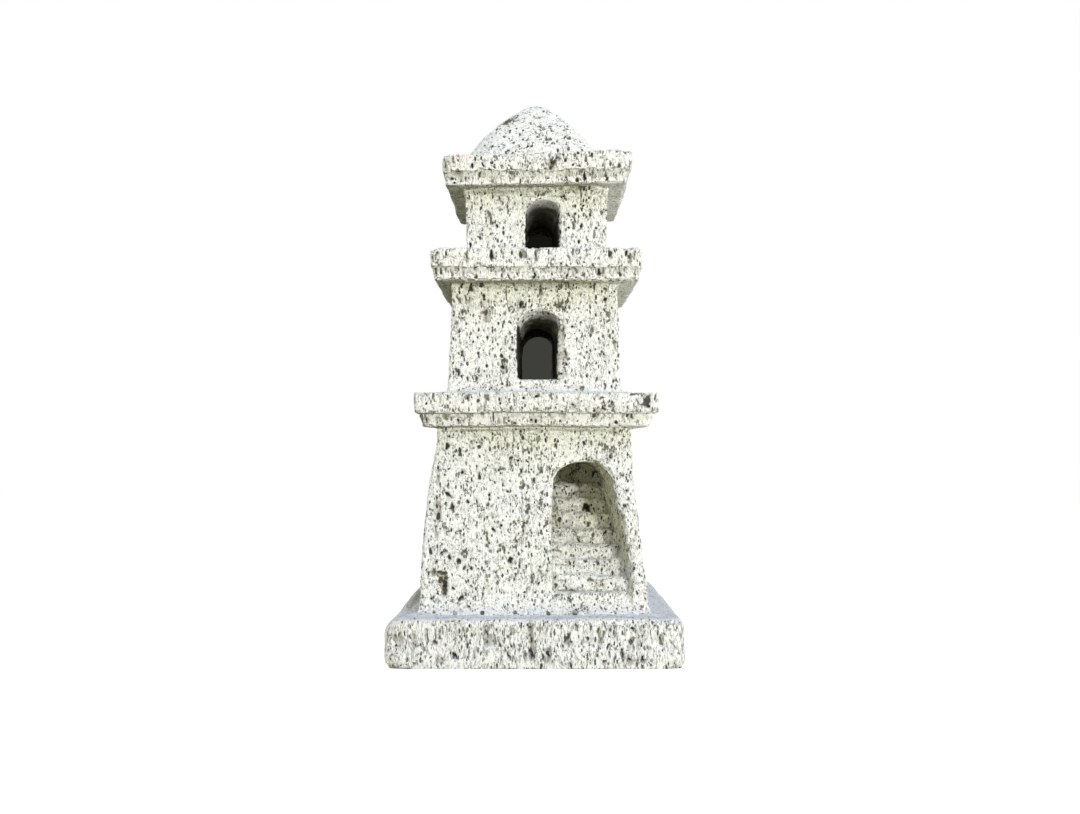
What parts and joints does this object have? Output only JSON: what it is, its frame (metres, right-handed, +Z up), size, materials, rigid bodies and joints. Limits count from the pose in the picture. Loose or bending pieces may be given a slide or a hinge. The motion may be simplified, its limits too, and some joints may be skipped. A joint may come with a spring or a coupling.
{
  "type": "miniature stone tower",
  "caption": "Free-standing carved stone tower model: square plinth, battered storey with stair niche, windowed storeys under stepped cornices, and a dome cap.",
  "frame": {"origin": "middle of the plinth's underside, on the surface that the tower stands on", "axes": "+Z up the tower's axis; the face with the stair niche and the wider window mouths looks along -Y; +X is to the right of that face"},
  "size_m": [0.073, 0.073, 0.15],
  "materials": {
    "white_tuff": "sawn and rasped porous stone, matt",
    "lime_mortar": "thin lime bed, matt"
  },
  "bodies": {
    "root": {"plinth": "white_tuff", "lower_storey_bed": "lime_mortar", "lower_storey": "white_tuff", "stair_flight_bed": "lime_mortar", "stair_flight": "white_tuff", "lower_band_bed": "lime_mortar", "lower_cornice_band": "white_tuff", "lower_slab_bed": "lime_mortar", "lower_cornice_slab": "white_tuff", "middle_storey_bed": "lime_mortar", "middle_storey": "white_tuff", "middle_band_bed": "lime_mortar", "middle_cornice_band": "white_tuff", "middle_slab_bed": "lime_mortar", "middle_cornice_slab": "white_tuff", "upper_storey_bed": "lime_mortar", "upper_storey": "white_tuff", "upper_band_bed": "lime_mortar", "upper_cornice_band": "white_tuff", "upper_slab_bed": "lime_mortar", "upper_cornice_slab": "white_tuff", "dome_cap_bed": "lime_mortar", "dome_cap": "white_tuff"}
  },
  "joints": []
}
